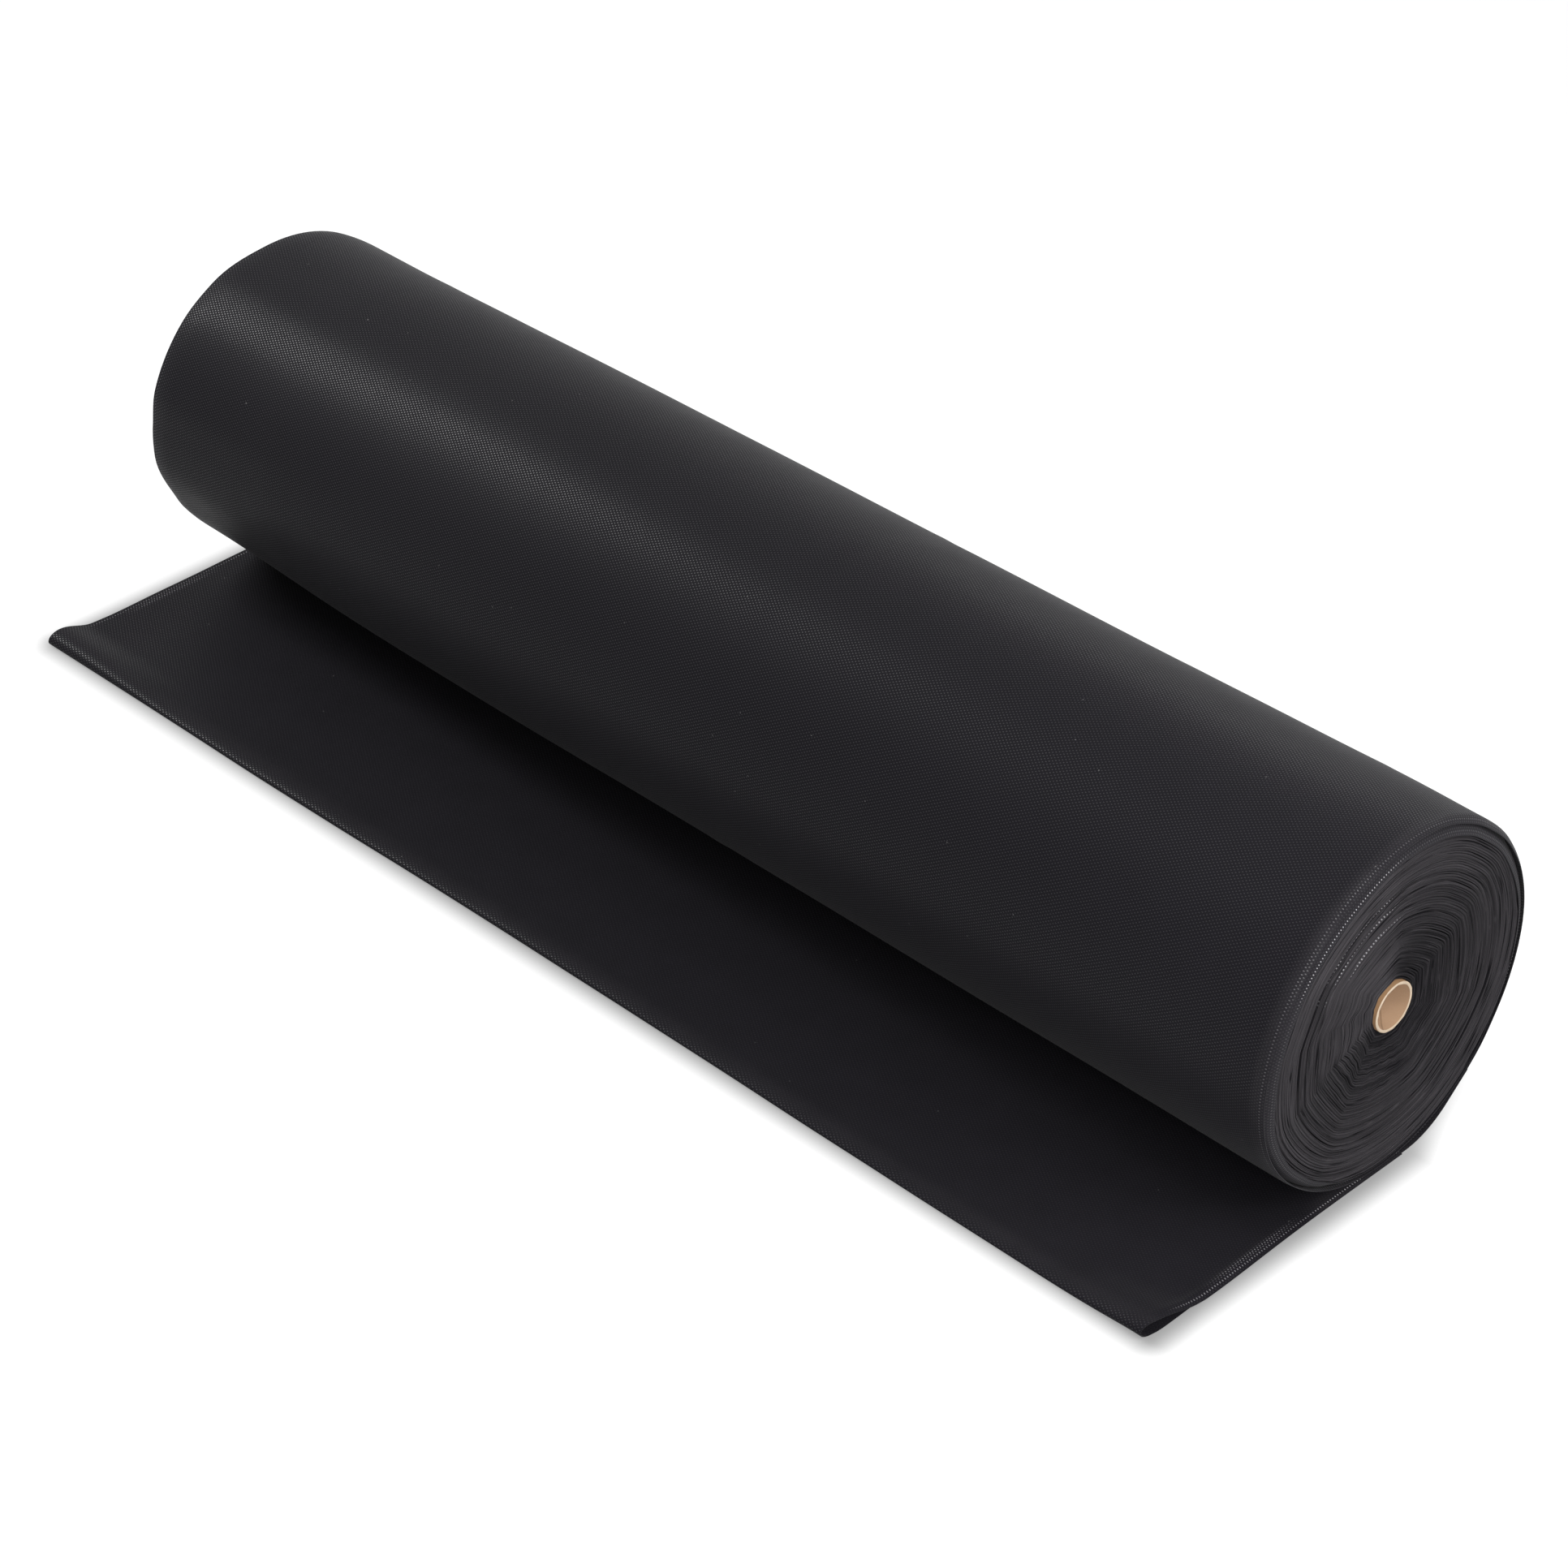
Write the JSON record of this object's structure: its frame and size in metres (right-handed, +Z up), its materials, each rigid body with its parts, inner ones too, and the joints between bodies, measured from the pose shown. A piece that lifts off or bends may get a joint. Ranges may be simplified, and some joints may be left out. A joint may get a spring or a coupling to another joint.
{
  "type": "roll of black non-woven ground sheet",
  "caption": "Roll of black non-woven ground sheet on a paper core. Its free end lies in front, folded under. The roll winds up along the sheet, and the end lifts.",
  "frame": {"origin": "on the floor, in the middle of the space that the roll and its laid-out end cover, half way along the core", "axes": "+X along the roll to the end that the picture shows, +Z up, -Y from the roll towards the folded free end"},
  "size_m": [1, 0.3402, 0.2424],
  "materials": {
    "black_nonwoven": "matt point-bonded non-woven polypropylene with a faint sheen",
    "brown_paper": "spirally wound kraft paper tube, uncoated"
  },
  "bodies": {
    "laid_sheet": {"laid_sheet": "black_nonwoven"},
    "free_end": {"folded_end": "black_nonwoven"},
    "core": {"paper_core": "brown_paper"},
    "roll": {"winding": "black_nonwoven"}
  },
  "joints": [
    {"name": "roll_travel", "type": "slide", "parent": "laid_sheet", "child": "core", "axis": [0, -1, 0], "range_m": [0, 0.095]},
    {"name": "roll_turn", "type": "hinge", "parent": "core", "child": "roll", "pos_m": [0, 0.04859, 0.1216], "axis": [1, 0, 0], "range_deg": [0, 45.1]},
    {"name": "end_lift", "type": "hinge", "parent": "laid_sheet", "child": "free_end", "pos_m": [0, -0.11861, 0.0005], "axis": [-1, 0, 0], "range_deg": [0, 45]}
  ],
  "couplings": [
    {"joint": "roll_turn", "follows": "roll_travel", "rad_per_m": 8.2781}
  ]
}
